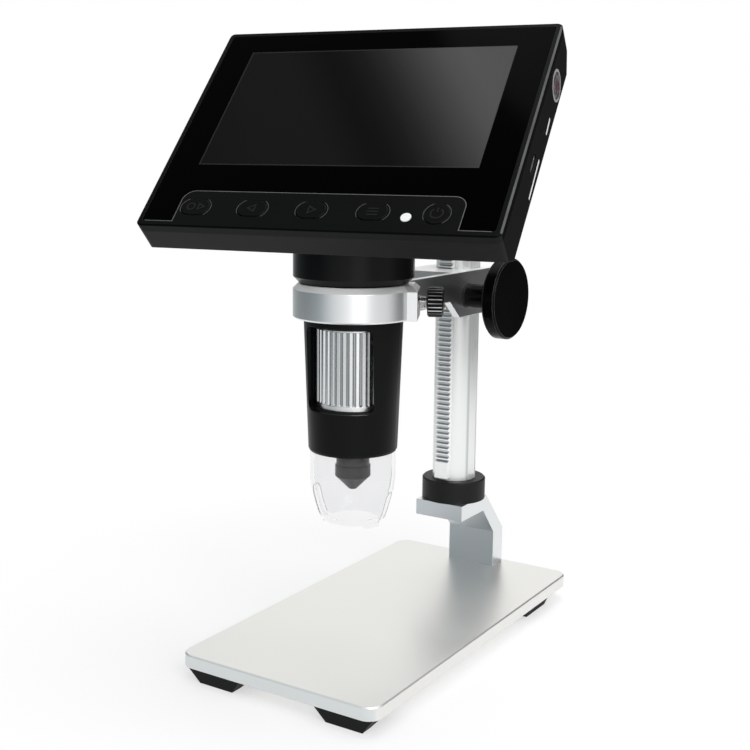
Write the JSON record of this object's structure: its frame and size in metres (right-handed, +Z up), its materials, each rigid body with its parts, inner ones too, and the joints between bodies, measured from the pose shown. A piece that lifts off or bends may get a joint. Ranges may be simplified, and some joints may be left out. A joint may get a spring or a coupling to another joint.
{
  "type": "lcd digital microscope",
  "caption": "Digital microscope with a tilted screen on a ridged-focus tube, held by a ring on a rack-and-pinion arm that slides on a column above a flat stage.",
  "frame": {"origin": "point of the stage, the base plate's top face, where the tube's optical axis meets it", "axes": "+Z up along the optical axis, +X to the side with the focus knob, -Y towards the plate's front edge and the user"},
  "size_m": [0.1307, 0.144, 0.2149],
  "materials": {
    "satin_aluminium": "satin, fine bead blast",
    "foot_rubber": "matt moulded rubber",
    "grey_aluminium": "satin",
    "steel": "turned",
    "dark_steel": "blackened",
    "black_plastic": "fine matt texture",
    "column_metal": "drawn, bright satin",
    "rack_steel": "cut teeth",
    "arm_aluminium": "satin anodised",
    "gear_brass": "cut teeth",
    "knob_black": "satin black",
    "tube_black": "satin black",
    "housing_black": "fine spark texture",
    "frame_black": "fine satin",
    "key_black": "satin",
    "dark_plastic": "matt black",
    "nose_grey": "dark grey satin",
    "drum_aluminium": "satin, ridged",
    "clear_plastic": "clear, polished",
    "lens_glass": "polished",
    "screen_glass": "polished, black printed border",
    "lcd_grey": "switched off",
    "sheet_metal": "pressed sheet",
    "green_board": "solder mask",
    "white_board": "white solder mask",
    "chip_black": "moulded",
    "led_yellow": "phosphor",
    "ribbon_amber": "film",
    "pouch_silver": "foil",
    "indicator_white": "milky"
  },
  "bodies": {
    "stand": {"base_plate": "satin_aluminium", "front_feet": "foot_rubber", "rear_feet": "foot_rubber", "bracket": "grey_aluminium", "bracket_screws": "steel", "column_screw": "steel", "collar": "black_plastic", "column": "column_metal", "rack": "rack_steel", "column_cap": "black_plastic"},
    "arm_carriage": {"arm": "arm_aluminium", "shaft_bushes": "dark_plastic"},
    "focus_wheel": {"focus_knob": "knob_black", "pinion_shaft": "steel", "pinion": "gear_brass", "knob_set_screw": "dark_steel", "shaft_clip": "dark_steel"},
    "thumb_screw": {"clamp_screw": "steel", "clamp_screw_head": "knob_black"},
    "head": {"tube_shell": "tube_black", "lens_guide": "dark_plastic", "led_board": "white_board", "leds": "led_yellow", "sensor_holder": "dark_plastic", "sensor_board": "green_board", "image_sensor": "chip_black", "camera_ribbon": "ribbon_amber", "neck_screws": "steel", "rear_housing": "housing_black", "front_frame": "frame_black", "front_glass": "screen_glass", "lcd_panel": "lcd_grey", "lcd_backlight": "sheet_metal", "main_board": "green_board", "board_chips": "chip_black", "key_switches": "sheet_metal", "usb_socket": "sheet_metal", "card_socket": "sheet_metal", "reset_switch": "chip_black", "battery": "pouch_silver", "indicator_lens": "indicator_white", "housing_screws": "dark_steel"},
    "drum": {"focus_drum": "drum_aluminium"},
    "lens": {"lens_barrel": "nose_grey", "objective_lens": "lens_glass", "lens_spacer": "dark_plastic", "rear_lens": "lens_glass"},
    "cap": {"clear_cap": "clear_plastic"},
    "key_1_body": {"key_1": "key_black"},
    "key_2_body": {"key_2": "key_black"},
    "key_3_body": {"key_3": "key_black"},
    "key_4_body": {"key_4": "key_black"},
    "power_key_body": {"power_key": "key_black"}
  },
  "joints": [
    {"name": "lift", "type": "slide", "parent": "stand", "child": "arm_carriage", "axis": [0, 0, 1], "range_m": [-0.04, 0.031]},
    {"name": "focus_knob_turn", "type": "hinge", "parent": "arm_carriage", "child": "focus_wheel", "pos_m": [0, 0.05684, 0.113], "axis": [1, 0, 0], "range_deg": [-365, 455]},
    {"name": "thumb_screw_turn", "type": "hinge", "parent": "arm_carriage", "child": "thumb_screw", "pos_m": [0.02192, 0.01117, 0.11595], "axis": [0.891, 0.454, 0], "range_deg": [0, 360]},
    {"name": "head_turn", "type": "hinge", "parent": "arm_carriage", "child": "head", "pos_m": [0, 0, 0.116], "axis": [0, 0, 1], "range_deg": [-55, 35]},
    {"name": "drum_turn", "type": "hinge", "parent": "head", "child": "drum", "pos_m": [0, 0, 0.094], "axis": [0, 0, 1], "range_deg": [-150, 150]},
    {"name": "lens_travel", "type": "slide", "parent": "head", "child": "lens", "axis": [0, 0, 1], "range_m": [-0.0051, 0.0051], "stiffness_N_per_m": 0.05, "springref_m": 0.975},
    {"name": "cap_pull", "type": "slide", "parent": "head", "child": "cap", "axis": [0, 0, -1], "range_m": [0, 0.012]},
    {"name": "key_1_press", "type": "slide", "parent": "head", "child": "key_1_body", "axis": [-0.1228, 0.6964, -0.7071], "range_m": [0, 0.0007], "stiffness_N_per_m": 150, "springref_m": -0.0015},
    {"name": "key_2_press", "type": "slide", "parent": "head", "child": "key_2_body", "axis": [-0.1228, 0.6964, -0.7071], "range_m": [0, 0.0007], "stiffness_N_per_m": 150, "springref_m": -0.0015},
    {"name": "key_3_press", "type": "slide", "parent": "head", "child": "key_3_body", "axis": [-0.1228, 0.6964, -0.7071], "range_m": [0, 0.0007], "stiffness_N_per_m": 150, "springref_m": -0.0015},
    {"name": "key_4_press", "type": "slide", "parent": "head", "child": "key_4_body", "axis": [-0.1228, 0.6964, -0.7071], "range_m": [0, 0.0007], "stiffness_N_per_m": 150, "springref_m": -0.0015},
    {"name": "power_key_press", "type": "slide", "parent": "head", "child": "power_key_body", "axis": [-0.1228, 0.6964, -0.7071], "range_m": [0, 0.0007], "stiffness_N_per_m": 150, "springref_m": -0.0015}
  ],
  "couplings": [
    {"joint": "focus_knob_turn", "follows": "lift", "rad_per_m": -196.08},
    {"joint": "lens_travel", "follows": "drum_turn", "m_per_rad": 0.0019099}
  ]
}
